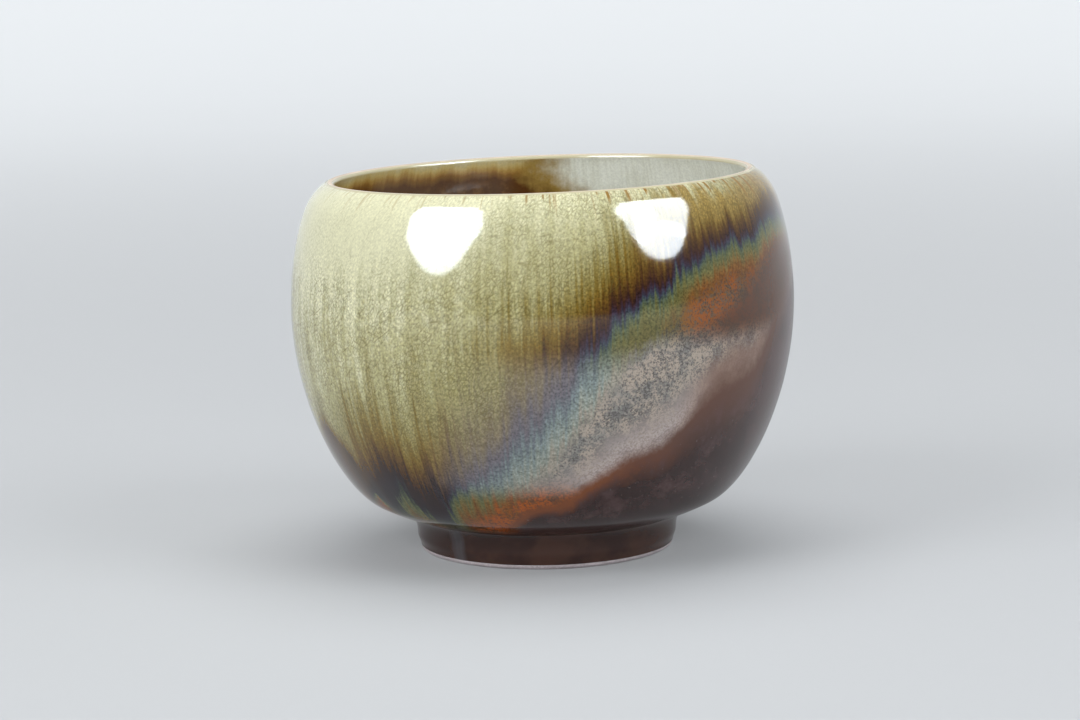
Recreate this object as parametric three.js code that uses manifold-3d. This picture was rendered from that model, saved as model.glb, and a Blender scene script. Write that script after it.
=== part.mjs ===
import * as THREE from 'three';
import { mergeVertices } from 'three/addons/utils/BufferGeometryUtils.js';
import Module from 'manifold-3d';

// Glazed stoneware tea bowl, millimetres, +Z up.
// The origin is the centre of the foot ring's standing face.
// Profiles are drawn as (radius, height) and turned about +Z.

const degrees = THREE.MathUtils.degToRad;

// Outside of the finished bowl, over the glaze
const HEIGHT = 67.3;
const BELLY_RADIUS = 45;
const BELLY_HEIGHT_SHARE = 0.658;
const LIP_INSET = 7.5;
const LIP_ANGLE = degrees(24.5);
const LIP_BEAD = 0.7;
const LIP_LEAN = Math.tan(degrees(1));
const HEEL_OVERHANG = 7.7;
const HEEL_RISE = 2.3;
const HEEL_ANGLE = degrees(26.5);

// Fullness of the outside curves, as shares of the span that each one bridges
const UNDERSIDE_FULLNESS = 0.3;
const HEEL_FULLNESS = 0.42;
const LOWER_FULLNESS = 0.5;
const SHOULDER_FULLNESS = 0.42;
const LIP_FULLNESS = 0.65;

// Clay wall and floor
const BELLY_WALL = 3.5;
const LIP_WALL = 0.9;
const LIP_UNDERCUT = degrees(24);
const FLOOR_DEPTH = 5.5;
const INNER_SHOULDER_FULLNESS = 0.35;
const INNER_BOWL_FULLNESS = 0.76;

// Foot ring, luted to the underside with a seam of slip
const FOOT_HEIGHT = 7;
const FOOT_TOP_RADIUS = 23.6;
const FOOT_TAPER = 0.3;
const FOOT_WALL = 5.2;
const FOOT_ROUND = 0.9;
const SLIP_DEPTH = 0.4;

// Glaze coats, which thin out at the bare lip and at the bare standing edge
const COAT = 0.5;
const LIP_FADE = 6;
const FOOT_FADE = 2;
const COAT_GAP = 0.3;
const CLAY_GAP = 0.02;

// Edge of the ash coat: a tilted dip line that ends in a hem above the heel.
// Runs of glaze drop below it; a negative drop is a notch between runs.
const DIP_HEIGHT = 15.8;
const DIP_SLOPE = Math.tan(degrees(45.5));
const DIP_BEARING = degrees(-23);
const HEM_RISE = 7.7;
const RUNS = [
  { bearing: 78, width: 7, drop: 5 },
  { bearing: 106, width: 6, drop: 6 },
  { bearing: 133, width: 7, drop: 5 },
  { bearing: 161, width: 6, drop: 6 },
  { bearing: 187, width: 7, drop: 5 },
  { bearing: 203, width: 9, drop: -8 },
  { bearing: 219, width: 5, drop: 6 },
  { bearing: 237, width: 6, drop: 6 },
  { bearing: 274, width: 7, drop: 3 },
  { bearing: 300, width: 6, drop: 2 },
  { bearing: 325, width: 6, drop: 2 },
];

// Upright plane where the two liner coats meet
const LINER_OFFSET = 4;
const LINER_BEARING = degrees(6);

// Facets round the bowl and along the ash coat's edge
const TURN_STEPS = 48;
const EDGE_STEPS = 120;

function point(radius, height) {
  return new THREE.Vector2(radius, height);
}

function shifted(start, angle, distance) {
  return point(start.x + distance * Math.cos(angle), start.y + distance * Math.sin(angle));
}

function bend(start, startPull, endPull, end, steps) {
  return new THREE.CubicBezierCurve(start, startPull, endPull, end).getPoints(steps);
}

function joined(...stretches) {
  return stretches.flatMap((stretch, i) => (i === 0 ? stretch : stretch.slice(1)));
}

// Clay outside, from the foot's corner up to the lip
const heelHeight = FOOT_HEIGHT + HEEL_RISE;
const bellyHeight = HEIGHT * BELLY_HEIGHT_SHARE;
const seat = point(FOOT_TOP_RADIUS - COAT, FOOT_HEIGHT);
const glazedHeel = point(FOOT_TOP_RADIUS + HEEL_OVERHANG, heelHeight);
const heel = shifted(glazedHeel, HEEL_ANGLE + Math.PI / 2, COAT);
const belly = point(BELLY_RADIUS - COAT, bellyHeight);
const crest = point(BELLY_RADIUS - LIP_INSET, HEIGHT);
const lipOutside = shifted(crest, -LIP_ANGLE, LIP_BEAD);

const underside = bend(
  seat,
  point(seat.x + HEEL_OVERHANG * UNDERSIDE_FULLNESS, seat.y),
  shifted(heel, HEEL_ANGLE, -HEEL_OVERHANG * UNDERSIDE_FULLNESS),
  heel,
  3,
);
const lowerWall = bend(
  heel,
  shifted(heel, HEEL_ANGLE, (belly.x - heel.x) * HEEL_FULLNESS),
  point(belly.x, belly.y - (belly.y - heel.y) * LOWER_FULLNESS),
  belly,
  7,
);
const shoulder = bend(
  belly,
  point(belly.x, belly.y + (lipOutside.y - belly.y) * SHOULDER_FULLNESS),
  shifted(lipOutside, -LIP_ANGLE, (belly.x - lipOutside.x) * LIP_FULLNESS),
  lipOutside,
  7,
);
const clayOutside = joined(underside, lowerWall, shoulder);

// Bare lip, over the crest
const lipInside = point(crest.x - LIP_WALL, HEIGHT - LIP_BEAD);
const bareLip = joined(
  bend(
    lipOutside,
    shifted(lipOutside, Math.PI - LIP_ANGLE, LIP_BEAD / 3),
    point(crest.x + LIP_BEAD / 3, crest.y),
    crest,
    2,
  ),
  bend(
    crest,
    point(crest.x - LIP_WALL / 2, crest.y),
    point(lipInside.x, lipInside.y + LIP_BEAD / 2),
    lipInside,
    3,
  ),
);

// Clay inside, from the lip down to the middle of the floor
const innerBelly = point(belly.x - BELLY_WALL, bellyHeight);
const innerFloor = point(0, FOOT_HEIGHT + FLOOR_DEPTH);
const innerShoulder = bend(
  lipInside,
  shifted(lipInside, LIP_UNDERCUT - Math.PI / 2, (lipInside.y - innerBelly.y) * INNER_SHOULDER_FULLNESS),
  point(innerBelly.x, innerBelly.y + (lipInside.y - innerBelly.y) * INNER_SHOULDER_FULLNESS),
  innerBelly,
  5,
);
const innerBowl = bend(
  innerBelly,
  point(innerBelly.x, innerBelly.y - (innerBelly.y - innerFloor.y) * INNER_BOWL_FULLNESS),
  point(innerBelly.x * INNER_BOWL_FULLNESS, innerFloor.y),
  innerFloor,
  8,
);
const clayInside = joined(innerShoulder, innerBowl);
const bodyProfile = joined([point(0, FOOT_HEIGHT), seat], clayOutside, bareLip, clayInside);

// Foot ring: its outer wall leans in a little, down to the rounded standing edge
const footEdge = point(seat.x - FOOT_TAPER, FOOT_ROUND);
const footBore = point(footEdge.x - FOOT_WALL, FOOT_ROUND);
const slipLine = point(
  seat.x - FOOT_TAPER * SLIP_DEPTH / (FOOT_HEIGHT - FOOT_ROUND),
  FOOT_HEIGHT - SLIP_DEPTH,
);
const innerRound = bend(
  footBore,
  point(footBore.x, FOOT_ROUND / 2),
  point(footBore.x + FOOT_ROUND / 2, 0),
  point(footBore.x + FOOT_ROUND, 0),
  4,
);
const outerRound = bend(
  point(footEdge.x - FOOT_ROUND, 0),
  point(footEdge.x - FOOT_ROUND / 2, 0),
  point(footEdge.x, FOOT_ROUND / 2),
  footEdge,
  4,
);
const footProfile = [...innerRound, ...outerRound, slipLine, point(footBore.x, slipLine.y), footBore];
const slipProfile = [
  point(footBore.x, slipLine.y),
  slipLine,
  seat,
  point(footBore.x, seat.y),
  point(footBore.x, slipLine.y),
];

// Distance along a profile from its first point to each of its points
function distances(profile) {
  let total = 0;
  return profile.map((here, i) => {
    total += i === 0 ? 0 : here.distanceTo(profile[i - 1]);
    return total;
  });
}

// A coat is a tenth of its depth at a bare edge and reaches full depth across the span
function fade(distance, span) {
  return 0.1 + 0.9 * THREE.MathUtils.smoothstep(distance, 0, span);
}

// Moves each point of a profile out along the profile's normal by its own depth
function grown(profile, depths) {
  return profile.map((here, i) => {
    const before = profile[Math.max(i - 1, 0)];
    const after = profile[Math.min(i + 1, profile.length - 1)];
    const arriving = here.clone().sub(before).normalize();
    const leaving = after.clone().sub(here).normalize();
    const a = i === 0 ? leaving : arriving;
    const b = i === profile.length - 1 ? arriving : leaving;
    const reach = depths[i] / (1 + a.dot(b));
    return point(here.x + (a.y + b.y) * reach, here.y - (a.x + b.x) * reach);
  });
}

// Clay side and open face of a coat over a path
function coatOver(path, depths) {
  return {
    back: grown(path, path.map(() => CLAY_GAP)),
    face: grown(path, depths),
  };
}

// Outer coat over the foot, the seam, the underside and the wall
const coatedPath = joined([footEdge, slipLine, seat], clayOutside);
const coatedWay = distances(coatedPath);
const outer = coatOver(
  coatedPath,
  coatedWay.map((way) => COAT * fade(way, FOOT_FADE) * fade(coatedWay.at(-1) - way, LIP_FADE)),
);
const coatProfile = [...outer.face, ...outer.back.toReversed(), outer.face[0]];

// Liner over the inside, down to the axis
const inner = coatOver(
  clayInside,
  distances(clayInside).map((way) => COAT * fade(way, LIP_FADE)),
);
inner.back.at(-1).x = 0;
inner.face.at(-1).x = 0;
const linerProfile = [...inner.back.toReversed(), ...inner.face];

function turned(profile, steps) {
  return new THREE.LatheGeometry(profile, steps).rotateX(Math.PI / 2);
}

// The thrown wall rises a little more towards +X the nearer it is to the lip
function leaned(geometry) {
  const position = geometry.attributes.position;
  for (let i = 0; i < position.count; i += 1) {
    const share = THREE.MathUtils.clamp((position.getZ(i) - heelHeight) / (HEIGHT - heelHeight), 0, 1);
    position.setZ(i, position.getZ(i) + LIP_LEAN * position.getX(i) * share * share);
  }
  return geometry;
}

// Height of the ash coat's edge where a line from the axis leaves towards (x, y)
function edgeHeight(x, y) {
  const bearing = Math.atan2(y, x);
  const dip = DIP_HEIGHT + DIP_SLOPE * Math.hypot(x, y) * Math.cos(bearing - DIP_BEARING);
  const runs = RUNS.map((run) => {
    const turn = bearing - degrees(run.bearing) + Math.PI;
    const away = THREE.MathUtils.euclideanModulo(turn, 2 * Math.PI) - Math.PI;
    return run.drop * Math.exp(-((away / degrees(run.width)) ** 2));
  });
  return Math.max(dip, heelHeight + HEM_RISE) - runs.reduce((sum, drop) => sum + drop, 0);
}

// Everything above the ash coat's edge, as a ring whose lower face follows that edge
function aboveEdge(lowering) {
  const near = footBore.x;
  const far = BELLY_RADIUS * 1.5;
  const top = HEIGHT * 3;
  const ring = turned(
    [point(near, 0), point(far, 0), point(far, top), point(near, top), point(near, 0)],
    EDGE_STEPS,
  );
  const position = ring.attributes.position;
  for (let i = 0; i < position.count; i += 1) {
    if (position.getZ(i) < top / 2) {
      position.setZ(i, edgeHeight(position.getX(i), position.getY(i)) - lowering);
    }
  }
  return ring;
}

// Everything on the -X side of the liner's dividing plane
function besideLiner(widening) {
  const side = BELLY_RADIUS * 4;
  return new THREE.BoxGeometry(side, side, side)
    .translate(LINER_OFFSET + widening - side / 2, 0, 0)
    .rotateZ(LINER_BEARING);
}

const wasm = await Module();
wasm.setup();

function solid(geometry) {
  const bare = geometry.clone();
  bare.deleteAttribute('normal');
  bare.deleteAttribute('uv');
  const welded = mergeVertices(bare, 1e-4);
  const corners = welded.index.array;
  const triangles = [];
  for (let i = 0; i < corners.length; i += 3) {
    const [a, b, c] = corners.slice(i, i + 3);
    if (a !== b && b !== c && c !== a) {
      triangles.push(a, b, c);
    }
  }
  return new wasm.Manifold(new wasm.Mesh({
    numProp: 3,
    vertProperties: new Float32Array(welded.attributes.position.array),
    triVerts: new Uint32Array(triangles),
  }));
}

function surface(body) {
  const mesh = body.getMesh();
  const geometry = new THREE.BufferGeometry();
  geometry.setAttribute('position', new THREE.BufferAttribute(mesh.vertProperties, 3));
  geometry.setIndex(new THREE.BufferAttribute(mesh.triVerts, 1));
  return geometry;
}

const coat = solid(leaned(turned(coatProfile, TURN_STEPS)));
const liner = solid(leaned(turned(linerProfile, TURN_STEPS)));

const bowl = new THREE.Group();
bowl.name = 'tea_bowl';

function add(name, geometry, color, roughness) {
  const material = new THREE.MeshStandardMaterial({ color, roughness, metalness: 0 });
  material.name = name;
  const mesh = new THREE.Mesh(geometry, material);
  mesh.name = name;
  bowl.add(mesh);
}

add('clay_body', leaned(turned(bodyProfile, TURN_STEPS)), '#d8c6b4', 0.7);
add('foot_ring', leaned(turned(footProfile, TURN_STEPS)), '#cbbdb6', 0.7);
add('foot_slip', leaned(turned(slipProfile, TURN_STEPS)), '#bda994', 0.8);
add('ash_glaze', surface(coat.intersect(solid(aboveEdge(0)))), '#a49c67', 0.1);
add('iron_glaze', surface(coat.subtract(solid(aboveEdge(COAT_GAP)))), '#43282a', 0.3);
add('liner_iron_glaze', surface(liner.intersect(solid(besideLiner(0)))), '#55300f', 0.1);
add('liner_ash_glaze', surface(liner.subtract(solid(besideLiner(COAT_GAP)))), '#a9b09a', 0.1);

export default bowl;
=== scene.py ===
import math
import bmesh
import bpy
import numpy as np
from mathutils import Matrix, Quaternion, Vector


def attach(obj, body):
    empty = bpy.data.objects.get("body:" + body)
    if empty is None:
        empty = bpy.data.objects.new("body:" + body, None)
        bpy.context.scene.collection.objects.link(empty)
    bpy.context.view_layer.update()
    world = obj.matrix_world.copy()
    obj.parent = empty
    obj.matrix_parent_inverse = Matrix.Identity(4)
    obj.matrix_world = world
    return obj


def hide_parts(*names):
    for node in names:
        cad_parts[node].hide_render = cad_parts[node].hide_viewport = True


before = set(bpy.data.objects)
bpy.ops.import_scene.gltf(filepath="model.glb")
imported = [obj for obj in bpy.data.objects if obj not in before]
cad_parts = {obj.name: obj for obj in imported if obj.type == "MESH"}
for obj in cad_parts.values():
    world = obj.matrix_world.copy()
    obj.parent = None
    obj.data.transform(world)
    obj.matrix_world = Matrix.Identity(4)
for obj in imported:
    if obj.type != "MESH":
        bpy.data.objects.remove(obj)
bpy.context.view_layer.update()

MM = 0.001
COLUMNS = 288
BEARINGS = np.linspace(0, 2 * math.pi, COLUMNS, endpoint=False)
SHARP_ANGLE = math.radians(50)

# Bowl profile, in millimetres, as (radius, height) about +Z
HEIGHT = 67.3
BELLY_R = 45.0
BELLY_Z = HEIGHT * 0.658
BELLY_WALL = 3.5
LIP_R = 37.5
LIP_ANGLE = math.radians(24.5)
LIP_BEAD = 0.7
LIP_WALL = 0.9
LIP_UNDERCUT = math.radians(24)
LIP_LEAN = math.tan(math.radians(1))
HEEL_R = 31.3
HEEL_Z = 9.3
HEEL_ANGLE = math.radians(26.5)
FOOT_H = 7.0
FOOT_TOP_R = 23.6
FOOT_TAPER = 0.3
FOOT_WALL = 5.2
FOOT_ROUND = 0.9
FLOOR_DEPTH = 5.5
SLIP_H = 0.4

# Reach of the profile's curve handles, as shares of the spans between its points
UNDERSIDE_PULL = 0.3
HEEL_PULL = 0.42
UNDER_BELLY_PULL = 0.5
OVER_BELLY_PULL = 0.42
LIP_PULL = 0.65
INNER_NECK_PULL = 0.35
INNER_FLOOR_PULL = 0.76

# Glaze coats: thickness, how they thin towards their ends, and the fillet between foot and underside
COAT = 0.5
CLAY_GAP = 0.02
THIN_END = 0.1
FOOT_FADE = 2.0
LIP_FADE = 6.0
FILLET_DROP = 3.6
FILLET_REACH = 3.4
FILLET_PULL = 0.6
FILLET_INSET = 0.1

# Stations along a coat
FOOT_END = 0.0
HEEL_TURN = 1.0
LIP_END = 2.0

# Unevenness of the thrown wall
THROWING_PITCH = 8.5
THROWING_RIDGE = 0.008
THROWING_OVAL = 0.05
THROWING_LOBES = 0.015

# Edge of the ash coat, with its runs as (bearing, width, length). A negative length is a notch.
DIP_HEIGHT = 15.8
DIP_SLOPE = math.tan(math.radians(45.5))
DIP_BEARING = math.radians(-23)
HEM = HEEL_Z + 7.7
NOTCH_BEARING = 203
RUNS = [
    (78, 7, 5), (106, 6, 6), (133, 7, 5), (161, 6, 6), (187, 7, 5), (NOTCH_BEARING, 9, -8),
    (219, 5, 6), (237, 6, 6), (274, 7, 3), (300, 6, 2), (325, 6, 2),
]

# Shift of the line where brown turns to blue: (bearing, high on the wall, low on it, below the coat's edge)
COLOUR_LINE = [
    (0, -1.5, -1.5, -1.5),
    (60, -2, -2, -2),
    (240, -4, 0, -1),
    (246, -4.5, 0, -4),
    (255, -5, 2.5, -1.5),
    (262, -5, 2, 0.5),
    (270, -4.2, -0.5, -0.5),
    (277, -3, -3, -3),
    (285, -1.5, -1.5, -1.5),
    (291, -2.6, -2.6, -2.6),
    (300, -3.6, -3.6, -3.6),
    (312, -1, -1, -1),
    (324, -1.2, -1.2, -1.2),
    (360, -1.5, -1.5, -1.5),
]
# Heights where the low part of the wall begins, and how the colours there follow the notch and the tips
LOW_BELT = (43, 36)
NOTCH_GAIN = 2.2
NOTCH_SPAN = (0.968, 0.995)
TIP_SHARE = 0.67
TIP_LEAST = 0.2
FAR_LEFT_LEAST = 3.6
NO_LEAST = -30

# Width of the speckled band below the edge, and what it gains in front and on the right
BAND_WIDTH = 8
BAND_FRONT = 7
BAND_RIGHT = 10.5
BAND_FAR_RIGHT = 5

# Upright plane where the two liner coats meet
LINER_OFFSET = 4.0
LINER_BEARING = math.radians(6)

# Colours of the runs, as linear RGB by height above the line where brown turns to blue
HIGH_RUNS = [
    (-10, (.18, .07, .012)), (-8.2, (.20, .085, .016)), (-6.6, (.185, .12, .032)), (-5, (.14, .135, .046)),
    (-3.4, (.11, .125, .055)), (-2.2, (.075, .10, .066)), (-1, (.04, .05, .072)), (0, (.04, .026, .045)),
    (1.5, (.04, .014, .010)), (3.5, (.075, .032, .007)), (5.6, (.125, .062, .009)), (7.7, (.19, .115, .018)),
    (9.8, (.23, .16, .038)), (12, (.26, .205, .065)), (15, (.30, .255, .10)), (20, (.345, .31, .145)),
]
# Greyer colours low in front: partly glaze colour, partly painted reflection
LOW_RUNS_AND_REFLECTION = [
    (-9, (.32, .295, .24)), (-7, (.285, .31, .265)), (-4.5, (.215, .26, .25)), (-2.5, (.155, .18, .195)),
    (0, (.15, .138, .158)), (2, (.165, .145, .15)), (4, (.185, .155, .13)), (7, (.225, .18, .115)),
    (10, (.25, .21, .12)), (13, (.285, .25, .13)), (20, (.33, .30, .15)),
]
# Colours of the thick ash coat by height on the wall, lighter towards the lip partly as painted sheen, and
# of the liner by depth below the lip
THICK_ASH_AND_SHEEN = [
    (24, (.29, .25, .11)), (34, (.325, .285, .125)), (43, (.335, .30, .125)), (48, (.38, .35, .17)),
    (54, (.46, .43, .23)), (60, (.55, .53, .325)), (68, (.68, .66, .44)),
]
LINER_BROWN = [
    (0, (.64, .55, .30)), (0.9, (.60, .45, .16)), (1.6, (.45, .27, .065)), (2.4, (.24, .11, .02)),
    (3.6, (.10, .037, .009)), (10, (.08, .028, .008)), (22, (.065, .024, .009)), (34, (.09, .036, .012)),
]

# Single colours of the outer coats
RUN_OLIVE = (.12, .12, .036)
# Dark of the runs' tips, deepened low on the left as painted dark reflection
DARK_TIP_AND_DARK_REFLECTION = (.012, .006, .004)
AMBER = (.34, .22, .05)
CRACK = (.13, .10, .022)
TICK = (.27, .145, .025)
ORANGE = (.30, .08, .006)
DULL_ORANGE = (.16, .085, .016)
LOW_ORANGE = (.48, .105, .010)
BAND_OLIVE = (.115, .115, .03)
# Tan and grey-tan of the band's middle: partly glaze colour, partly painted reflection
BAND_SAGE = (.26, .255, .16)
TAN = (.45, .375, .305)
GREY_TAN = (.27, .265, .245)
BROWN_FLECK = (.10, .06, .025)
GREEN_FLECK = (.085, .085, .055)
GREY_FLECK = (.18, .17, .165)
DARK_DOT = (.045, .03, .022)
GREY_DOT = (.095, .085, .08)
# Pale fringe colours, laid only in the band's middle: partly glaze colour, partly painted reflection
FRINGE_DARK = (.34, .275, .255)
FRINGE_LIGHT = (.58, .485, .45)
FRINGE_RIGHT = (.25, .145, .105)
SHOULDER_BROWN = (.08, .033, .017)
RUST = (.12, .05, .03)
LOW_RUST = (.21, .06, .016)
IRON_DARK = (.028, .009, .007)
# Mauve of the iron: partly glaze colour, partly painted reflection
IRON_MAUVE_AND_REFLECTION = (.085, .042, .040)
IRON_PIN = (.11, .085, .08)
FOOT_DARK = (.04, .015, .010)
FOOT_LIGHT = (.07, .028, .017)
FOOT_RUN = (.11, .115, .13)

# Single colours of the liner, and light and dark colours of the clays
LINER_PATCH = (.22, .10, .028)
LINER_AMBER = (.34, .22, .055)
LINER_PALE = (.76, .775, .66)
LINER_WHITE = (.86, .88, .78)
LIP_FILM = (.52, .47, .30)
WALL_CLAY = ((.66, .54, .43), (.52, .41, .31))
FOOT_CLAY = ((.68, .60, .62), (.50, .43, .44))
SLIP_CLAY = ((.45, .36, .29), (.33, .26, .2))

# Shading: index of refraction, and the radius at which streaks and cracks have their stated size
GLAZE_IOR = 1.5
LINER_IOR = 1.54
CLAY_IOR = 1.5
STREAK_R = 42


def bend(p0, p1, p2, p3, steps):
    """Points of a cubic curve with the handles p1 and p2."""
    t = np.linspace(0, 1, steps + 1)[:, None]
    p0, p1, p2, p3 = (np.asarray(p, float) for p in (p0, p1, p2, p3))
    return (1 - t) ** 3 * p0 + 3 * (1 - t) ** 2 * t * p1 + 3 * (1 - t) * t * t * p2 + t ** 3 * p3


def line(p0, p1, steps):
    return np.asarray(p0, float) + np.linspace(0, 1, steps + 1)[:, None] * np.subtract(p1, p0)


def joined(*runs):
    """One path from runs of which each starts where the last one ends."""
    return np.concatenate([runs[0]] + [run[1:] for run in runs[1:]])


def way(path):
    """Length along a path up to each of its points."""
    return np.concatenate([[0], np.cumsum(np.hypot(*np.diff(path, axis=0).T))])


def smooth(x, low, high):
    """0 at low and 1 at high, with a soft start and end."""
    t = np.clip((np.asarray(x, float) - low) / (high - low), 0, 1)
    return t * t * (3 - 2 * t)


def normals(path):
    """Unit normals to the right of a path's direction."""
    d = np.gradient(path, axis=0)
    n = np.stack([d[:, 1], -d[:, 0]], 1)
    return n / np.linalg.norm(n, axis=1)[:, None]


def offset(path, distance):
    """The path moved along its normals, by one distance or by one for each point."""
    return path + normals(path) * np.reshape(distance, (-1, 1))


def polar(start, angle, distance):
    return np.array([start[0] + distance * math.cos(angle), start[1] + distance * math.sin(angle)])


def thickness(distance, span):
    """A coat's thickness at a distance from its end."""
    return COAT * (THIN_END + (1 - THIN_END) * smooth(distance, 0, span))


def turned(r, z):
    """Points at radius r and height z on every bearing. The lip leans, and rises to the right."""
    points = np.stack([r * np.cos(BEARINGS), r * np.sin(BEARINGS), z + 0 * BEARINGS], -1)
    share = np.clip((points[..., 2] - HEEL_Z) / (HEIGHT - HEEL_Z), 0, 1)
    points[..., 2] += LIP_LEAN * points[..., 0] * share ** 2
    return points


def run_length(bearing):
    length = 0 * bearing
    for run, width, fall in RUNS:
        away = (bearing - math.radians(run) + math.pi) % (2 * math.pi) - math.pi
        length = length + fall * np.exp(-(away / math.radians(width)) ** 2)
    return length


def above_edge(points):
    """Millimetres above the ash coat's edge: a slanting dip line, a hem above the heel, and the runs."""
    x, y, z = points[..., 0], points[..., 1], points[..., 2]
    bearing = np.arctan2(y, x)
    dip = DIP_HEIGHT + DIP_SLOPE * np.hypot(x, y) * np.cos(bearing - DIP_BEARING)
    return z - (np.maximum(dip, HEM) - run_length(bearing))


def colour_height(points, edge):
    """Millimetres above the line where brown turns to blue. On the left the tips of the runs stay dark."""
    x, z = points[:, 0], points[:, 2]
    turn = np.arctan2(points[:, 1], x)
    bearing = np.degrees(turn) % 360
    low = smooth(z, *LOW_BELT)
    edge = edge * (1 + NOTCH_GAIN * smooth(np.cos(turn - math.radians(NOTCH_BEARING)), *NOTCH_SPAN))

    at, *shifts = zip(*COLOUR_LINE)
    high_shift, low_shift, under_shift = (np.interp(bearing, at, shift) for shift in shifts)
    shift = high_shift + (low_shift - high_shift) * low
    front = edge + under_shift + (shift - under_shift) * smooth(edge, -3, 3)
    stretch_above = 1 + 0.5 * smooth(x, 22, 30)
    stretch_below = 1 + 0.45 * smooth(x, 8, 30)
    front = front * np.where(front > 0, stretch_above, stretch_below)

    tips = np.maximum(edge - TIP_SHARE * run_length(turn), TIP_LEAST * edge)
    left = np.where(edge > 0, tips, edge)
    # Round the far left the colours stop short of blue
    least = (FAR_LEFT_LEAST - NO_LEAST) * smooth(x, -27, -31) + NO_LEAST
    left = np.maximum(left, least)
    on_left = low * smooth(bearing, 245, 240) * smooth(bearing, 100, 115)
    return front + (left - front) * on_left


def band_width(bearing):
    """Width of the speckled band on a bearing in degrees."""
    front = smooth(np.cos(np.radians(bearing - 260)), -0.1, 0.5)
    right = np.exp(-((bearing - 303) / 26) ** 4)
    far_right = np.exp(-((bearing - 335) / 15) ** 2)
    return BAND_WIDTH + BAND_FRONT * front + BAND_RIGHT * right + BAND_FAR_RIGHT * far_right


def sheet(rows, first):
    """Quads of a grid that closes round its columns, facing out where rows run down."""
    i = np.arange(rows - 1)[:, None] * COLUMNS + first
    j = np.arange(COLUMNS)[None, :]
    k = (j + 1) % COLUMNS
    return np.stack([i + j, i + COLUMNS + j, i + COLUMNS + k, i + k], -1).reshape(-1, 4)


def lathe(path):
    """Points and faces of a closed turned form. The profile runs from axis to axis, or round a ring."""
    on_axis = path[0, 0] < 1e-6
    rings = path[1:-1] if on_axis else path
    points = turned(rings[:, :1], rings[:, 1:]).reshape(-1, 3)
    faces = sheet(len(rings), 0)[:, ::-1].tolist()
    last = (len(rings) - 1) * COLUMNS
    turn = [(j, (j + 1) % COLUMNS) for j in range(COLUMNS)]
    if on_axis:
        low, high = len(points), len(points) + 1
        points = np.concatenate([points, [[0, 0, path[0, 1]], [0, 0, path[-1, 1]]]])
        faces += [(low, k, j) for j, k in turn] + [(high, last + j, last + k) for j, k in turn]
    else:
        faces += [(last + j, last + k, k, j) for j, k in turn]
    return points, faces


def make(name, points, faces, node, slot, material):
    """Piece from points in millimetres. It stands for a CAD node and rides on the one body."""
    mesh = bpy.data.meshes.new(name)
    mesh.from_pydata((np.asarray(points) * MM).tolist(), [], faces)
    mesh.validate()
    obj = bpy.data.objects.new(name, mesh)
    bpy.context.scene.collection.objects.link(obj)
    mesh.shade_smooth()
    mesh.set_sharp_from_angle(angle=SHARP_ANGLE)
    mesh.materials.append(material)
    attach(obj, "root")
    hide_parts(node)
    return obj


def set_normals(mesh, count, normal):
    """Gives the corners of the first `count` faces their vertices' normals. The rest keep their own."""
    corners = np.zeros(len(mesh.loops), int)
    mesh.loops.foreach_get("vertex_index", corners)
    total = mesh.polygons[count - 1].loop_start + mesh.polygons[count - 1].loop_total
    custom = np.zeros((len(corners), 3))
    custom[:total] = normal[corners[:total]]
    mesh.normals_split_custom_set(custom.tolist())


def measure(mesh, **values):
    """Stores numbers on the vertices, for the glaze to read."""
    for name, value in values.items():
        layer = mesh.attributes.new(name, "FLOAT", "POINT")
        layer.data.foreach_set("value", np.asarray(value, np.float32).ravel())


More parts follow.
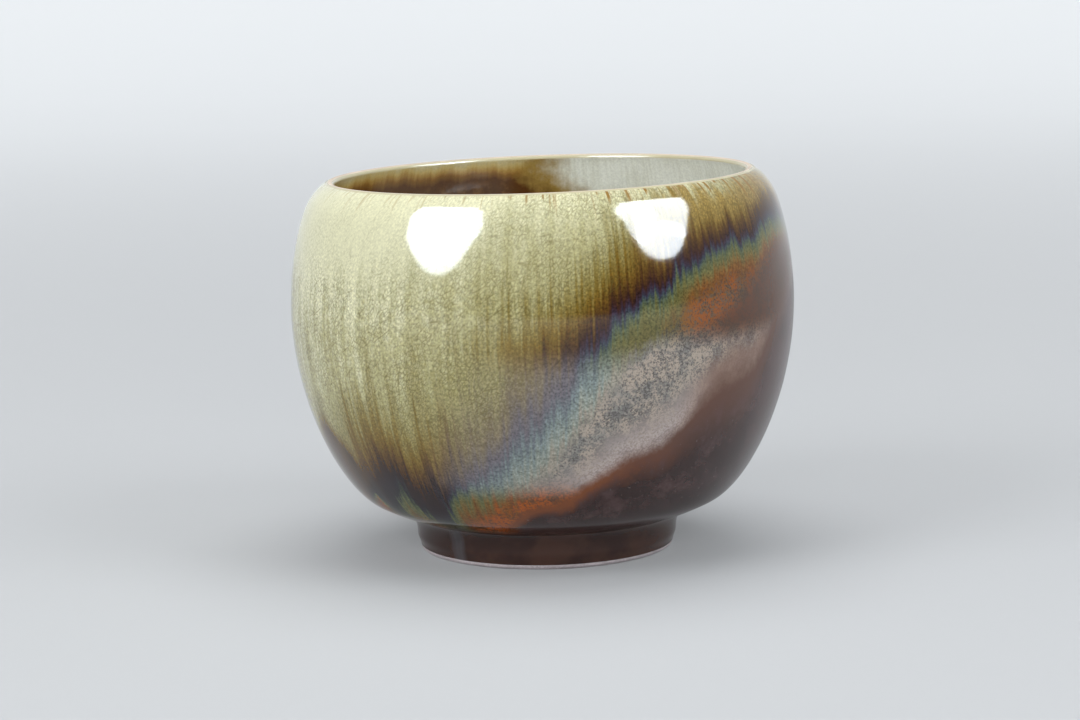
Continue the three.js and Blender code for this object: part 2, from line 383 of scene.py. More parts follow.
class Nodes:
    """Nodes of a new material or world, round its one shader."""

    def __init__(self, name, world=False):
        self.owner = (bpy.data.worlds if world else bpy.data.materials).new(name)
        self.owner.use_nodes = True
        self.tree = self.owner.node_tree
        self.shader = self.tree.nodes["Background" if world else "Principled BSDF"]

    def put(self, socket, value):
        if isinstance(value, bpy.types.NodeSocket):
            self.tree.links.new(value, socket)
        elif isinstance(value, tuple) and socket.type == "RGBA":
            socket.default_value = (*value, 1)
        else:
            socket.default_value = value

    def node(self, kind, inputs=(), **settings):
        node = self.tree.nodes.new("ShaderNode" + kind)
        for key, value in settings.items():
            setattr(node, key, value)
        for socket, value in zip(node.inputs, inputs):
            self.put(socket, value)
        return node

    def math(self, operation, *inputs):
        return self.node("Math", inputs, operation=operation).outputs[0]

    def add(self, *values):
        total = values[0]
        for value in values[1:]:
            total = self.math("ADD", total, value)
        return total

    def mul(self, *values):
        total = values[0]
        for value in values[1:]:
            total = self.math("MULTIPLY", total, value)
        return total

    def weigh(self, *pairs):
        """Sum of values times their weights."""
        return self.add(*(self.mul(value, weight) for value, weight in pairs))

    def centred(self, value):
        """Noise moved down, so that its mean is about 0."""
        return self.add(value, -0.5)

    def fit(self, value, low, high, to_low=0.0, to_high=1.0, curve="SMOOTHSTEP"):
        """Goes from to_low, where the value is low, to to_high, where it is high."""
        node = self.node("MapRange", interpolation_type=curve)
        names = ("Value", "From Min", "From Max", "To Min", "To Max")
        for name, number in zip(names, (value, low, high, to_low, to_high)):
            self.put(node.inputs[name], number)
        return node.outputs["Result"]

    def position(self):
        """Place on the bowl in millimetres, as x, y, z and radius, and the unit bearing (ux, uy)."""
        scale = self.node("VectorMath", operation="SCALE")
        self.put(scale.inputs[0], self.node("TexCoord").outputs["Object"])
        scale.inputs["Scale"].default_value = 1 / MM
        self.place = scale.outputs[0]
        self.x, self.y, self.z = self.node("SeparateXYZ", [self.place]).outputs
        squares = self.add(self.mul(self.x, self.x), self.mul(self.y, self.y))
        self.radius = self.math("MAXIMUM", self.math("SQRT", squares), 0.01)
        self.ux = self.math("DIVIDE", self.x, self.radius)
        self.uy = self.math("DIVIDE", self.y, self.radius)

    def noise(self, vector, size=1.0, detail=2.0, rough=0.5):
        node = self.node("TexNoise")
        self.put(node.inputs["Vector"], vector)
        node.inputs["Scale"].default_value = 1 / size
        node.inputs["Detail"].default_value = detail
        node.inputs["Roughness"].default_value = rough
        return node.outputs[0]

    def streaks(self, width, length, seed, detail=2.0):
        """Noise drawn out along the meridians, with streaks of that width and length."""
        turn = STREAK_R / width
        across = self.add(self.mul(self.ux, turn), seed)
        vector = self.node("CombineXYZ", [across, self.mul(self.uy, turn), self.mul(self.z, 1 / length)])
        return self.noise(vector.outputs[0], detail=detail)

    def cracks(self, width, length, tilt, hairline):
        """Depth in a net of hairline cracks whose cells lie along a slant, 1 on a crack."""
        turn = self.mul(self.math("ARCTAN2", self.x, self.mul(self.y, -1.0)), STREAK_R)
        across = self.weigh((self.z, math.cos(tilt) / width), (turn, -math.sin(tilt) / width))
        along = self.weigh((self.z, math.sin(tilt) / length), (turn, math.cos(tilt) / length))
        node = self.node("TexVoronoi", feature="DISTANCE_TO_EDGE", voronoi_dimensions="2D")
        self.put(node.inputs["Vector"], self.node("CombineXYZ", [across, along, 0.0]).outputs[0])
        node.inputs["Scale"].default_value = 1
        return self.fit(node.outputs["Distance"], hairline / width, hairline / width / 4)

    def attribute(self, name):
        return self.node("Attribute", attribute_name=name).outputs["Fac"]

    def ramp(self, value, stops):
        """Colours at given values of a quantity."""
        low, high = stops[0][0], stops[-1][0]
        node = self.node("ValToRGB", [self.fit(value, low, high, curve="LINEAR")])
        elements = node.color_ramp.elements
        while len(elements) < len(stops):
            elements.new(0.5)
        for element, (at, colour) in zip(elements, stops):
            element.position = (at - low) / (high - low)
            element.color = (*colour, 1)
        return node.outputs[0]

    def mix(self, share, a, b, blend="MIX"):
        node = self.node("Mix", data_type="RGBA", blend_type=blend)
        for name, value in (("Factor_Float", share), ("A_Color", a), ("B_Color", b)):
            socket = next(s for s in node.inputs if s.identifier == name)
            self.put(socket, value)
        return next(s for s in node.outputs if s.identifier == "Result_Color")

    def grey(self, value):
        return self.node("CombineXYZ", [value, value, value]).outputs[0]

    def bump(self, height, strength, distance):
        node = self.node("Bump")
        node.inputs["Strength"].default_value = strength
        node.inputs["Distance"].default_value = distance * MM
        self.put(node.inputs["Height"], height)
        self.put(self.shader.inputs["Normal"], node.outputs[0])

    def finish(self, colour, roughness, ior):
        self.put(self.shader.inputs["Base Color"], colour)
        self.put(self.shader.inputs["Roughness"], roughness)
        self.shader.inputs["IOR"].default_value = ior
        return self.owner


class OuterGlaze(Nodes):
    """What the layers of the outer coats share: measures of the mesh, streaks, grains and masks."""

    def __init__(self, name):
        super().__init__(name)
        self.position()
        # From the mesh: height above the coat's edge, height above the line where brown turns to blue,
        # depth in the speckled band from 0 at the edge to 1, and way down from the lip
        self.edge = self.attribute("edge")
        self.rise = self.attribute("rise")
        self.band = self.attribute("band")
        self.drop = self.attribute("drop")

        # Streaks and grains, from narrow to wide
        self.fine = self.centred(self.streaks(width=0.5, length=9, seed=3.1, detail=1.5))
        self.thread = self.centred(self.streaks(width=1.1, length=18, seed=57.2))
        self.mid = self.centred(self.streaks(width=3, length=30, seed=17.3))
        self.broad = self.centred(self.streaks(width=12, length=45, seed=41.7, detail=1))
        self.speck = self.noise(self.place, size=0.34, detail=3, rough=0.65)
        self.grain = self.noise(self.place, size=0.42, detail=3, rough=0.6)
        self.mottle = self.noise(self.place, size=1.6, detail=4, rough=0.65)
        self.patch = self.noise(self.place, size=3.2, detail=3, rough=0.6)
        self.clouds = self.noise(self.place, size=7, detail=3, rough=0.55)

        # Streaks slide the colours up and down along the meridians, and further far above the edge
        slide = self.weigh((self.fine, 8), (self.thread, 7), (self.mid, 5), (self.broad, 2))
        self.height = self.add(self.rise, self.mul(slide, self.fit(self.edge, 1, 24, 1, 2)))

        # Masks: the ash coat, the strength of its streaks, which are calmer at the lip and low down,
        # the low part of the wall, the part with the tan middle of the band, whose colours are partly
        # painted reflection, and all below the runs
        self.ash = self.fit(self.rise, 2, 10)
        self.calm = self.mul(self.fit(self.z, 57, 49, 0.45, 1), self.fit(self.z, 28, 38, 0.6, 1))
        self.low = self.fit(self.z, *LOW_BELT)
        # The band's middle, between these heights, takes colours that are partly painted reflection
        between = self.mul(self.fit(self.z, 45, 40), self.fit(self.z, 15, 20))
        self.middle = self.mul(between, self.fit(self.x, -24, -15))
        ragged = self.add(self.rise, self.mul(self.fine, 6), self.mul(self.centred(self.patch), 7))
        self.below = self.mul(self.fit(ragged, -8, -12.5), self.fit(self.x, -31, -27))

        # Depth in the band with a wandering end, the plain iron coat beyond that, and the foot
        wander = self.weigh((self.centred(self.clouds), 0.16), (self.centred(self.mottle), 0.08))
        self.far = self.add(self.band, wander)
        self.iron = self.fit(self.far, 0.9, self.fit(self.x, 12, 34, 1.0, 1.28))
        self.foot = self.fit(self.z, FOOT_H + 0.4, FOOT_H - 0.4)


def run_colours(n):
    """Ash to brown, blue and olive down the runs, greyer low in front, partly as painted reflection. Tips on
    the left are dark, partly their own colour and partly painted dark reflection.
    """
    high = n.ramp(n.height, HIGH_RUNS)
    left_of_orange = n.fit(n.add(n.x, n.mul(n.thread, 14)), 27, 19)
    olive = n.mul(n.fit(n.height, -4, -6.5), left_of_orange, n.fit(n.z, 32, 38))
    high = n.mix(n.mul(olive, 0.85), high, RUN_OLIVE)
    # Low in front the runs turn greyer: partly glaze colour, partly painted reflection
    painted_reflection_low_front = n.mul(n.low, n.fit(n.x, -22, -11), n.fit(n.z, 14.5, 19))
    colour = n.mix(painted_reflection_low_front, high, n.ramp(n.height, LOW_RUNS_AND_REFLECTION))
    # Low on the left the runs' tips turn darker still: partly their own dark, partly painted dark reflection
    low_left = n.mul(n.low, n.fit(n.x, -13, -19))
    tips = n.mul(low_left, n.fit(n.height, 3.4, 1), n.fit(n.height, -4, -1.5, 0, 0.6))
    return n.mix(tips, colour, DARK_TIP_AND_DARK_REFLECTION)


def thick_ash(n, colour):
    """Thick ash coat above the runs, paler towards lip and left, partly its own colour and partly painted
    sheen, with an amber seam on the right.
    """
    ripple = n.centred(n.noise(n.place, size=1.3, detail=3, rough=0.6))
    drift = n.mul(n.weigh((n.thread, 23), (n.mid, 21), (n.broad, 16), (ripple, 22)), n.calm)
    # Lighter on the left and darker on the right, more so low on the wall: partly the coat's colour, partly
    # painted sheen
    paler = n.mul(n.fit(n.x, -40, 6, 16, -7, "LINEAR"), n.fit(n.z, 43, 34, 1, 1.5))
    thick = n.ramp(n.add(n.z, drift, paler), THICK_ASH_AND_SHEEN)
    colour = n.mix(n.mul(n.fit(n.height, 11, 22), n.fit(n.x, 33, 24)), colour, thick)
    seam = n.mul(n.fit(n.height, 6, 11), n.fit(n.height, 20, 13), n.fit(n.x, 14, 27, 0, 0.7))
    return n.mix(seam, colour, AMBER)


def crackle(n, colour):
    """Grain, and the streaks and fine cracks of the ash coat, fainter near the lip on the left."""
    net = n.cracks(width=0.5, length=1.1, tilt=math.radians(57), hairline=0.09)
    net = n.mul(net, n.fit(n.noise(n.place, size=5, detail=1), 0.35, 0.6, 0.08, 0.3))
    slant = n.cracks(width=1.3, length=8, tilt=math.radians(50), hairline=0.075)
    slant = n.mul(slant, n.fit(n.noise(n.place, size=3, detail=1), 0.45, 0.6, 0, 0.36))
    near_lip = n.fit(n.x, -28, -2, 0.45, 0.95)
    bite = n.mul(n.fit(n.z, 59, 47, near_lip, 1.5), n.fit(n.x, -5, 12, 1, 1.4))
    grainy = n.mul(n.centred(n.grain), 1.38, bite)
    streaky = n.mul(n.weigh((n.fine, 0.15), (n.thread, 0.18), (n.mid, 0.15)), n.ash, n.calm)
    colour = n.mix(1.0, colour, n.grey(n.add(1.0, grainy, streaky)), "MULTIPLY")
    return n.mix(n.mul(n.math("MAXIMUM", net, slant), n.ash, bite), colour, CRACK)


def lip_ticks(n, colour):
    """Amber ticks that hang from the lip, fainter on the left."""
    hang = n.fit(n.streaks(width=2.2, length=400, seed=88.1, detail=1), 0.35, 0.7, 1.0, 6.5)
    tick = n.fit(n.streaks(width=0.7, length=60, seed=71.9, detail=1), 0.5, 0.68)
    reach = n.fit(n.math("DIVIDE", n.drop, hang), 1, 0.35)
    return n.mix(n.mul(tick, reach, n.fit(n.x, -22, 12, 0.35, 1)), colour, TICK)


def speckled_band(n, colour):
    """Speckles below the edge, on tan in the middle and on orange and olive above and below it. The middle's
    tan and grey colours are partly glaze colour and partly painted reflection.
    """
    streaky = n.fit(n.add(n.mul(n.thread, 0.7), n.patch), 0.45, 0.75)
    orange = n.mix(streaky, ORANGE, DULL_ORANGE)
    orange = n.mix(n.fit(n.z, 22, 16, 0, 0.85), orange, LOW_ORANGE)
    olive = n.mix(n.fit(n.z, 44, 39), BAND_OLIVE, BAND_SAGE)
    ground = n.mix(n.mul(n.fit(n.z, 30, 36), n.fit(n.x, 27, 19)), orange, olive)
    tan = n.mix(n.fit(n.weigh((n.patch, 0.5), (n.clouds, 0.5)), 0.42, 0.58), TAN, GREY_TAN)
    ground = n.mix(n.middle, ground, tan)

    cover = n.mul(n.centred(n.patch), 0.35)
    flecks = n.add(n.noise(n.place, size=0.55, detail=3, rough=0.65), cover)
    fleck = n.mix(n.middle, n.mix(n.fit(n.z, 30, 38), BROWN_FLECK, GREEN_FLECK), GREY_FLECK)
    ground = n.mix(n.fit(flecks, 0.47, 0.58, 0, 0.75), ground, fleck)
    dots = n.mul(n.fit(n.add(n.speck, cover), 0.5, 0.61), n.fit(n.z, 13, 19, 0.5, 0.85))
    return n.mix(n.below, colour, n.mix(dots, ground, n.mix(n.middle, DARK_DOT, GREY_DOT)))


def plain_iron(n, colour):
    """Pale fringe of the band, brown above it on the right, a rust line, then the plain iron coat. The
    fringe, and the iron's mauve that is lighter higher up, are partly glaze colour and partly painted
    reflection.
    """
    fringe = n.mix(n.fit(n.speck, 0.38, 0.62), FRINGE_DARK, FRINGE_LIGHT)
    fringe = n.mix(n.fit(n.x, 20, 30), fringe, FRINGE_RIGHT)
    colour = n.mix(n.mul(n.fit(n.far, 0.58, 0.82), n.middle, 0.85), colour, fringe)
    brown_from = n.fit(n.x, 28, 38, 0.32, 0.12)
    brown_to = n.fit(n.x, 28, 38, 0.66, 0.42)
    brown = n.mul(n.fit(n.far, brown_from, brown_to), n.fit(n.z, 39, 45), 0.9)
    colour = n.mix(brown, colour, SHOULDER_BROWN)
    rust = n.mix(n.fit(n.z, 26, 16), RUST, LOW_RUST)
    colour = n.mix(n.fit(n.far, 0.8, n.fit(n.z, 16, 28, 0.9, 0.96)), colour, rust)

    # Mottled mauve on the iron, lighter higher up: partly glaze colour, partly painted reflection
    mauve_and_reflection = n.add(n.mul(n.clouds, 0.6), n.mul(n.mottle, 0.4), n.fit(n.z, 20, 36, 0, 0.14))
    iron = n.mix(n.fit(mauve_and_reflection, 0.42, 0.7), IRON_DARK, IRON_MAUVE_AND_REFLECTION)
    pins = n.fit(n.noise(n.place, size=0.5, detail=1), 0.72, 0.78)
    return n.mix(n.iron, colour, n.mix(pins, iron, IRON_PIN))


def glazed_foot(n, colour):
    """Brown foot with one thin blue-grey run."""
    towards_run = n.weigh((n.ux, -0.67), (n.uy, -0.742), (n.mid, 0.006))
    run = n.fit(towards_run, 0.996, 0.9998, 0, 0.55)
    brown = n.mix(n.fit(n.clouds, 0.4, 0.65), FOOT_DARK, FOOT_LIGHT)
    return n.mix(n.foot, colour, n.mix(run, brown, FOOT_RUN))


def outer_glaze():
    n = OuterGlaze("divided_glaze")
    colour = run_colours(n)
    for layer in (thick_ash, crackle, lip_ticks, speckled_band, plain_iron, glazed_foot):
        colour = layer(n, colour)
    rough = n.add(n.fit(n.below, 0, 1, 0.07, 0.15, "LINEAR"), n.mul(n.iron, 0.09), n.mul(n.foot, -0.1))
    rough = n.add(rough, n.mul(n.centred(n.mottle), 0.06))
    relief = n.add(n.mul(n.grain, 0.35, n.ash), n.mul(n.speck, 0.6, n.below), n.mul(n.mottle, 0.5))
    n.bump(relief, strength=0.2, distance=0.05)
    return n.finish(colour, rough, GLAZE_IOR)


def liner_glaze():
    """Brown coat that is pale at the lip, and a pale coat beyond the dividing plane, with amber between."""
    n = Nodes("divided_liner")
    n.position()
    wall = n.fit(n.radius, 6, 26)
    fine = n.mul(n.centred(n.streaks(width=0.8, length=11, seed=5.7)), wall)
    mid = n.mul(n.centred(n.streaks(width=4, length=30, seed=23.9)), wall)
    broad = n.centred(n.noise(n.place, size=9))
    patch = n.noise(n.place, size=2.5, detail=3, rough=0.6)
    grain = n.noise(n.place, size=0.4, detail=3, rough=0.6)
    lip = n.add(n.mul(n.x, LIP_LEAN), HEIGHT - LIP_BEAD)
    deep = n.add(lip, n.mul(n.z, -1.0))

    brown = n.ramp(n.add(deep, fine, n.mul(mid, 3), n.mul(broad, 2)), LINER_BROWN)
    brown = n.mix(n.mul(n.fit(patch, 0.5, 0.7), n.fit(deep, 3, 6), 0.6), brown, LINER_PATCH)
    pale = n.mix(n.fit(n.add(fine, n.mul(broad, 1.2)), -0.25, 0.25), LINER_PALE, LINER_WHITE)
    beyond = n.weigh((n.x, math.cos(LINER_BEARING)), (n.y, math.sin(LINER_BEARING)))
    beyond = n.add(beyond, -LINER_OFFSET, n.fit(deep, 1, 9, -4.5, -12.5))
    beyond = n.add(beyond, n.weigh((fine, 2), (mid, 4), (broad, 14), (patch, 8)))
    amber = n.mix(n.fit(beyond, -10, -2), brown, LINER_AMBER)
    colour = n.mix(n.fit(beyond, -4, 6), amber, pale)
    tone = n.fit(grain, 0.3, 0.7, 0.9, 1.1, "LINEAR")
    colour = n.mix(1.0, colour, n.grey(tone), "MULTIPLY")
    n.bump(grain, strength=0.12, distance=0.05)
    rough = n.fit(grain, 0.3, 0.7, 0.06, 0.11, "LINEAR")
    return n.finish(colour, rough, LINER_IOR)


def clay(name, light, dark, glazed_lip=False):
    """Bare clay with grit, clouds and turning marks."""
    n = Nodes(name)
    n.position()
    grit = n.noise(n.place, size=0.3, detail=3, rough=0.65)
    cloud = n.noise(n.place, size=4, detail=3, rough=0.55)
    marks = n.noise(n.node("CombineXYZ", [0.0, 0.0, n.mul(n.z, 1.6)]).outputs[0])
    colour = n.mix(n.fit(n.weigh((grit, 0.6), (cloud, 0.4)), 0.38, 0.64), dark, light)
    rough = n.fit(grit, 0.3, 0.7, 0.55, 0.75, "LINEAR")
    if glazed_lip:
        # Thin glaze runs over the lip and leaves only its crest bare
        outer_film = n.fit(n.radius, LIP_R + 0.05, LIP_R + 0.35)
        inner_film = n.fit(n.radius, LIP_R - 0.35, LIP_R - 0.7)
        film = n.mul(n.math("MAXIMUM", outer_film, inner_film), n.fit(n.z, HEIGHT - 6, HEIGHT - 4))
        colour = n.mix(film, colour, LIP_FILM)
        rough = n.fit(film, 0, 1, 0.45, 0.12)
    n.bump(n.add(grit, n.mul(marks, 0.6)), strength=0.25, distance=0.06)
    return n.finish(colour, rough, CLAY_IOR)


# Clay outside from the foot up to the lip, over the lip, and down the inside
seat = np.array([FOOT_TOP_R - COAT, FOOT_H])
heel = polar((HEEL_R, HEEL_Z), HEEL_ANGLE + math.pi / 2, COAT)
belly = np.array([BELLY_R - COAT, BELLY_Z])
crest = np.array([LIP_R, HEIGHT])
lip_out = polar(crest, -LIP_ANGLE, LIP_BEAD)
lip_in = np.array([LIP_R - LIP_WALL, HEIGHT - LIP_BEAD])
foot_edge = np.array([seat[0] - FOOT_TAPER, FOOT_ROUND])
overhang = UNDERSIDE_PULL * (HEEL_R - FOOT_TOP_R)
underside = bend(seat, seat + (overhang, 0), polar(heel, HEEL_ANGLE, -overhang), heel, steps=20)
lower_wall = bend(
    heel,
    polar(heel, HEEL_ANGLE, (belly[0] - heel[0]) * HEEL_PULL),
    belly - (0, (belly[1] - heel[1]) * UNDER_BELLY_PULL),
    belly,
    steps=90,
)
shoulder = bend(
    belly,
    belly + (0, (lip_out[1] - belly[1]) * OVER_BELLY_PULL),
    polar(lip_out, -LIP_ANGLE, (belly[0] - lip_out[0]) * LIP_PULL),
    lip_out,
    steps=80,
)
clay_outside = joined(underside, lower_wall, shoulder)
bead = LIP_BEAD / 3
lip_top = joined(
    bend(lip_out, polar(lip_out, math.pi - LIP_ANGLE, bead), crest + (bead, 0), crest, steps=6),
    bend(crest, crest - (LIP_WALL / 2, 0), lip_in + (0, LIP_BEAD / 2), lip_in, steps=6),
)
inner_belly = belly - (BELLY_WALL, 0)
inner_floor = np.array([0, FOOT_H + FLOOR_DEPTH])
neck = INNER_NECK_PULL * (lip_in[1] - inner_belly[1])
lip_in_handle = polar(lip_in, LIP_UNDERCUT - math.pi / 2, neck)
hollow = INNER_FLOOR_PULL * (inner_belly - inner_floor)
clay_inside = joined(
    bend(lip_in, lip_in_handle, inner_belly + (0, neck), inner_belly, steps=50),
    bend(inner_belly, inner_belly - (0, hollow[1]), inner_floor + (hollow[0], 0), inner_floor, steps=70),
)

# Outer coats, with a face and a back. The face is filleted where the foot meets the underside.
foot_line = line(foot_edge, seat, steps=40)
foot_face = offset(foot_line, thickness(way(foot_line), FOOT_FADE))
foot_face = foot_face[foot_face[:, 1] < FOOT_H - FILLET_DROP]
wall_way = way(clay_outside)
wall_face = offset(clay_outside, thickness(wall_way[-1] - wall_way, LIP_FADE))
wall_face = wall_face[np.argmax(wall_face[:, 0] > seat[0] + FILLET_REACH):]
corner = np.array([foot_face[-1, 0] + FILLET_INSET, wall_face[0, 1] - FILLET_INSET])
fillet_start = foot_face[-1] * (1 - FILLET_PULL) + corner * FILLET_PULL
fillet_end = wall_face[0] * (1 - FILLET_PULL) + corner * FILLET_PULL
fillet = bend(foot_face[-1], fillet_start, fillet_end, wall_face[0], steps=20)
coat_face = joined(foot_face, fillet, wall_face)
coat_back = offset(joined(foot_line, clay_outside), CLAY_GAP)


def stations(path):
    """Stations of a path's points, and the wall's length from heel to lip."""
    along = way(path)
    turn = along[np.argmin(np.hypot(*(path - heel).T))]
    wall = along[-1] - turn
    return np.where(along < turn, along / turn, 1 + (along - turn) / wall), wall


face_at, wall_length = stations(coat_face)
back_at, _ = stations(coat_back)
face_normal = normals(coat_face)


def on_face(at):
    """Points of the coats' face at given stations, with the unevenness of the thrown wall."""
    r, z = (np.interp(at, face_at, coat_face[:, i]) for i in (0, 1))
    out, up = (np.interp(at, face_at, face_normal[:, i]) for i in (0, 1))
    swell = THROWING_RIDGE * np.sin(2 * math.pi * at * wall_length / THROWING_PITCH - BEARINGS)
    swell = swell + THROWING_OVAL * np.sin(2 * BEARINGS + 3 * at)
    swell = swell + THROWING_LOBES * np.sin(5 * BEARINGS - 7 * at)
    swell = swell * smooth(at, HEEL_TURN, HEEL_TURN + 0.2) * smooth(at, LIP_END, LIP_END - 0.15)
    return turned(r + out * swell, z + up * swell)


def on_back(at):
    r, z = (np.interp(at, back_at, coat_back[:, i]) for i in (0, 1))
    return turned(r, z)


def find_edge():
    """Station of the ash coat's edge on each bearing, the highest one where the face crosses it."""
    tries = np.linspace(HEEL_TURN, LIP_END, 500)[:, None] + 0 * BEARINGS
    above = above_edge(on_face(tries))
    low = len(tries) - 1 - np.argmax(above[::-1] < 0, axis=0)
    columns = np.arange(COLUMNS)
    share = -above[low, columns] / (above[low + 1, columns] - above[low, columns])
    return tries[low, 0] + share * (tries[1, 0] - tries[0, 0])


def rows(start, end, count):
    """Rows of stations on every bearing, from one station to another."""
    start, end = start + 0 * BEARINGS, end + 0 * BEARINGS
    return np.linspace(0, 1, count + 1)[:, None] * (end - start) + start


def ash_rows(count):
    return rows(LIP_END, edge_at, count)


def iron_rows(wall_count, foot_count):
    return joined(rows(edge_at, HEEL_TURN, wall_count), rows(HEEL_TURN, FOOT_END, foot_count))


edge_at = find_edge()
ash_face = ash_rows(80)
iron_face = iron_rows(60, 48)
face_grid = on_face(joined(ash_face, iron_face))
down = np.gradient(face_grid, axis=0)
across = np.roll(face_grid, -1, 1) - np.roll(face_grid, 1, 1)
face_normals = np.cross(down, across)
face_normals /= np.linalg.norm(face_normals, axis=-1)[..., None]


def coat(name, face, part, back, slot, material):
    """Closed coat from its part of the face and a back, shaded with the normals of the whole face."""
    points = np.concatenate([face_grid[part], on_back(back)]).reshape(-1, 3)
    start = len(face) * COLUMNS
    face_end = start - COLUMNS
    back_end = start + (len(back) - 1) * COLUMNS
    j = np.arange(COLUMNS)
    k = (j + 1) % COLUMNS
    front = sheet(len(face), 0)
    quads = np.concatenate([
        front,
        sheet(len(back), start)[:, ::-1],
        np.stack([j, k, start + k, start + j], 1),
        np.stack([face_end + j, back_end + j, back_end + k, face_end + k], 1),
    ])
    obj = make(name, points, quads.tolist(), slot, slot, material)
    edge = above_edge(points)
    bearing = np.degrees(np.arctan2(points[:, 1], points[:, 0])) % 360
    station = np.concatenate([face, back]).ravel()
    measure(
        obj.data,
        edge=edge,
        rise=colour_height(points, edge),
        band=-edge / band_width(bearing),
        drop=np.clip(LIP_END - station, 0, 1) * wall_length,
    )
    normal = np.zeros((len(points), 3))
    normal[:start] = face_normals[part].reshape(-1, 3)
    set_normals(obj.data, len(front), normal)


glaze = outer_glaze()
shared_row = len(ash_face) - 1
coat("ash_coat", ash_face, slice(0, shared_row + 1), ash_rows(30), "ash_glaze", glaze)
coat("iron_coat", iron_face, slice(shared_row, None), iron_rows(24, 40), "iron_glaze", glaze)

# Thrown wall and floor
wall_path = joined(line((0, FOOT_H), seat, steps=12), clay_outside, lip_top, clay_inside)
wall_clay = clay("bare_clay", *WALL_CLAY, glazed_lip=True)
make("bowl_wall", *lathe(wall_path), "clay_body", "stoneware", wall_clay)

# Turned foot ring, up to the seam of slip
half = FOOT_ROUND / 2
bore = np.array([foot_edge[0] - FOOT_WALL, FOOT_ROUND])
inner_stand = np.array([bore[0] + FOOT_ROUND, 0])
outer_stand = np.array([foot_edge[0] - FOOT_ROUND, 0])
outer_top = np.array([seat[0] - FOOT_TAPER * SLIP_H / (FOOT_H - FOOT_ROUND), FOOT_H - SLIP_H])
inner_top = np.array([bore[0], FOOT_H - SLIP_H])
foot_path = joined(
    bend(bore, bore - (0, half), inner_stand - (half, 0), inner_stand, steps=8),
    line(inner_stand, outer_stand, steps=6),
    bend(outer_stand, outer_stand + (half, 0), foot_edge - (0, half), foot_edge, steps=8),
    line(foot_edge, outer_top, steps=10),
    line(outer_top, inner_top, steps=6),
    line(inner_top, bore, steps=10),
)[:-1]
make("turned_foot", *lathe(foot_path), "foot_ring", "foot_stoneware", clay("bare_foot", *FOOT_CLAY))

# Seam of slip, the CAD's own shape
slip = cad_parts["foot_slip"]
slip.data.materials.clear()
slip.data.materials.append(clay("luting_slip", *SLIP_CLAY))

# Liner, turned whole and parted along the plane where its two coats meet
liner_face = offset(clay_inside, thickness(way(clay_inside), LIP_FADE))
liner_back = offset(clay_inside, CLAY_GAP)
liner_face[-1, 0] = liner_back[-1, 0] = 0
liner_points, liner_faces = lathe(np.concatenate([liner_back[::-1], liner_face]))
plane = Vector((math.cos(LINER_BEARING), math.sin(LINER_BEARING), 0))
liner = liner_glaze()
for name, node, side in (("liner_brown", "liner_iron_glaze", 1), ("liner_pale", "liner_ash_glaze", -1)):
    obj = make(name, liner_points, liner_faces, node, node, liner)
    bm = bmesh.new()
    bm.from_mesh(obj.data)
    cut = bmesh.ops.bisect_plane(
        bm, geom=bm.verts[:] + bm.edges[:] + bm.faces[:], dist=1e-9,
        plane_co=plane * LINER_OFFSET * MM, plane_no=plane * side, clear_outer=True)
    rim = [e for e in cut["geom_cut"] if isinstance(e, bmesh.types.BMEdge)]
    bmesh.ops.holes_fill(bm, edges=rim)
    bmesh.ops.recalc_face_normals(bm, faces=bm.faces)
    bm.to_mesh(obj.data)
    bm.free()
    obj.data.shade_smooth()
    obj.data.set_sharp_from_angle(angle=SHARP_ANGLE)

# Camera at the photograph's height, tilt and roll. The frame's shift is in the photograph's pixels.
PHOTO_WIDTH = 1080
LENS = 100
SENSOR = 36
FOCAL_PIXELS = PHOTO_WIDTH * LENS / SENSOR
EYE = Vector((0, -533.14, 115.08)) * MM
AIM = Vector((0, 0, 34)) * MM
CAMERA_ROLL = math.radians(1.17)
SHIFT_RIGHT = 3.4
SHIFT_UP = 2.6
scene = bpy.context.scene
camera = bpy.data.objects.new("camera", bpy.data.cameras.new("camera"))
scene.collection.objects.link(camera)
camera.data.lens = LENS
camera.data.sensor_width = SENSOR
camera.data.clip_start = 0.01
forward = (AIM - EYE).normalized()
level = forward.cross(Vector((0, 0, 1))).normalized()
upright = level.cross(forward)
right = level * math.cos(CAMERA_ROLL) - upright * math.sin(CAMERA_ROLL)
up = level * math.sin(CAMERA_ROLL) + upright * math.cos(CAMERA_ROLL)
forward = forward - right * (SHIFT_RIGHT / FOCAL_PIXELS) - up * (SHIFT_UP / FOCAL_PIXELS)
forward.normalize()
right = forward.cross(up).normalized()
up = right.cross(forward)
camera.matrix_world = Matrix.Translation(EYE) @ Matrix((right, up, -forward)).transposed().to_4x4()
scene.camera = camera

# Lamps, by azimuth and elevation in degrees, with distances and sizes in metres and power in watts
DAYLIGHT = (0.96, 0.985, 1.0)
WINDOW_LIGHT = (0.84, 0.93, 1.0)
LAMP_AIM = Vector((0, 0, 0.045))


def lamp(name, azimuth, elevation, distance, size, power, roll=0.0, shape="ELLIPSE", window=False):
    """Area lamp that faces the bowl. A window shows in the gloss only, where the other lamps don't show."""
    data = bpy.data.lights.new(name, "AREA")
    data.color = WINDOW_LIGHT if window else DAYLIGHT
    data.shape = shape
    data.size, data.size_y = size
    data.energy = power
    obj = bpy.data.objects.new(name, data)
    scene.collection.objects.link(obj)
    a, e = math.radians(azimuth), math.radians(elevation)
    outward = Vector((math.cos(e) * math.cos(a), math.cos(e) * math.sin(a), math.sin(e)))
    obj.location = LAMP_AIM + outward * distance
    turn = outward.to_track_quat("Z", "Y") @ Quaternion((0, 0, 1), math.radians(roll))
    obj.rotation_euler = turn.to_euler()
    obj.visible_camera = False
    obj.visible_diffuse = not window
    obj.visible_glossy = window


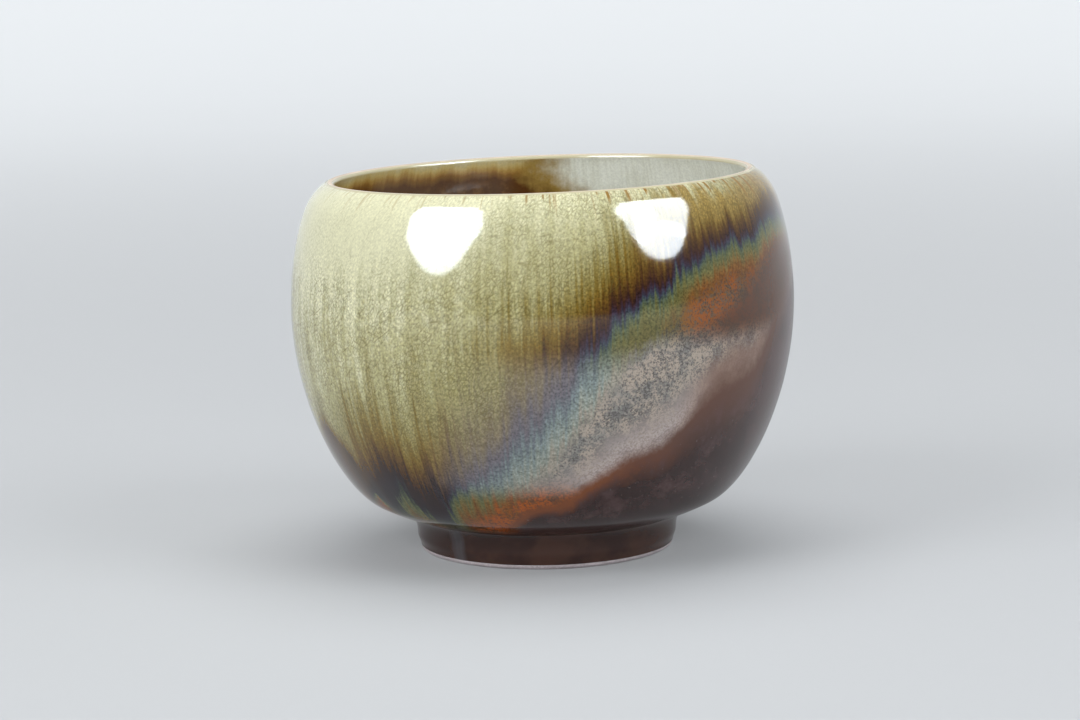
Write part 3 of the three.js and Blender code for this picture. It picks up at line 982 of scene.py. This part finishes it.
# Each window patch near the lip is made of three lamps, which together have its outline
lamp("window_left", -158.1, 50.2, 1.076, (0.4, 0.552), 12.2, roll=24, shape="RECTANGLE", window=True)
lamp("window_left_low", -141.2, 29.4, 1.005, (0.575, 0.68), 16.9, roll=30, window=True)
lamp("window_left_side", -131.4, 46.6, 1.0, (0.756, 0.168), 5.5, roll=112.8, window=True)
lamp("window_right", -21.4, 40.5, 1.013, (0.464, 0.737), 20.5, roll=-26.3, shape="RECTANGLE", window=True)
lamp("window_right_low", -31.8, 20.7, 1.027, (0.433, 0.274), 6.5, roll=-4.3, window=True)
lamp("window_right_side", -37.2, 39.8, 1.0, (0.277, 0.762), 10, roll=-13.3, window=True)
lamp("soft_left", -142, 31, 1.2, (0.7, 0.7), 6.6)
lamp("soft_right", -30, 36, 1.2, (0.7, 0.7), 4.5)
lamp("soft_front", -90, 14, 1.4, (0.9, 0.9), 5.5)
lamp("overhead", 90, 80, 1.3, (1.2, 1.2), 11)

# Surroundings, darker on the side that the camera looks from
SKY = (0.97, 1.0, 1.03)
SKY_SPAN = (-0.75, 0.2)
SKY_LEVELS = (0.10, 0.55)
SKY_RISE = 0.6
sky = Nodes("studio", world=True)
_, sky_y, sky_z = sky.node("SeparateXYZ", [sky.node("TexCoord").outputs["Generated"]]).outputs
slope = sky.math("MULTIPLY_ADD", sky_z, SKY_RISE, sky_y)
sky.put(sky.shader.inputs["Color"], SKY)
sky.put(sky.shader.inputs["Strength"], sky.fit(slope, *SKY_SPAN, *SKY_LEVELS))
scene.world = sky.owner

# Paper floor that sweeps up behind, in metres. Where it is seen it glows more, the further away it is.
FLOOR_HALF = 3
FLOOR_FRONT = -2.5
SWEEP_START = 0.9
SWEEP_HANDLE = 1.5
BACKDROP = 1.7
BACKDROP_HANDLE = 0.25
BACKDROP_START = 0.8
BACKDROP_TOP = 2.6
PAPER = (.40, .404, .412)
PAPER_GLOW = (.93, .97, 1.0)
sweep = joined(
    line((FLOOR_FRONT, 0), (SWEEP_START, 0), steps=8),
    bend(
        (SWEEP_START, 0), (SWEEP_HANDLE, 0),
        (BACKDROP, BACKDROP_HANDLE), (BACKDROP, BACKDROP_START), steps=16),
    line((BACKDROP, BACKDROP_START), (BACKDROP, BACKDROP_TOP), steps=4),
)
mesh = bpy.data.meshes.new("floor")
verts = [(x, y, z) for y, z in sweep for x in (-FLOOR_HALF, FLOOR_HALF)]
mesh.from_pydata(verts, [], [(2 * i, 2 * i + 1, 2 * i + 3, 2 * i + 2) for i in range(len(sweep) - 1)])
mesh.shade_smooth()
floor = bpy.data.objects.new("floor", mesh)
scene.collection.objects.link(floor)
paper = Nodes("paper")
place = paper.node("TexCoord").outputs["Object"]
away = paper.node("VectorMath", [place], operation="LENGTH").outputs["Value"]
rays = paper.node("LightPath").outputs
mirrored = paper.math("MAXIMUM", rays["Is Glossy Ray"], rays["Is Transmission Ray"])
seen = paper.math("MAXIMUM", rays["Is Camera Ray"], mirrored)
paper.put(paper.shader.inputs["Emission Color"], PAPER_GLOW)
glow = paper.fit(away, 0.12, 1.5, to_low=0.12, to_high=0.62)
paper.put(paper.shader.inputs["Emission Strength"], paper.mul(seen, glow))
mesh.materials.append(paper.finish(PAPER, roughness=0.9, ior=1.1))

scene.view_settings.view_transform = "Standard"
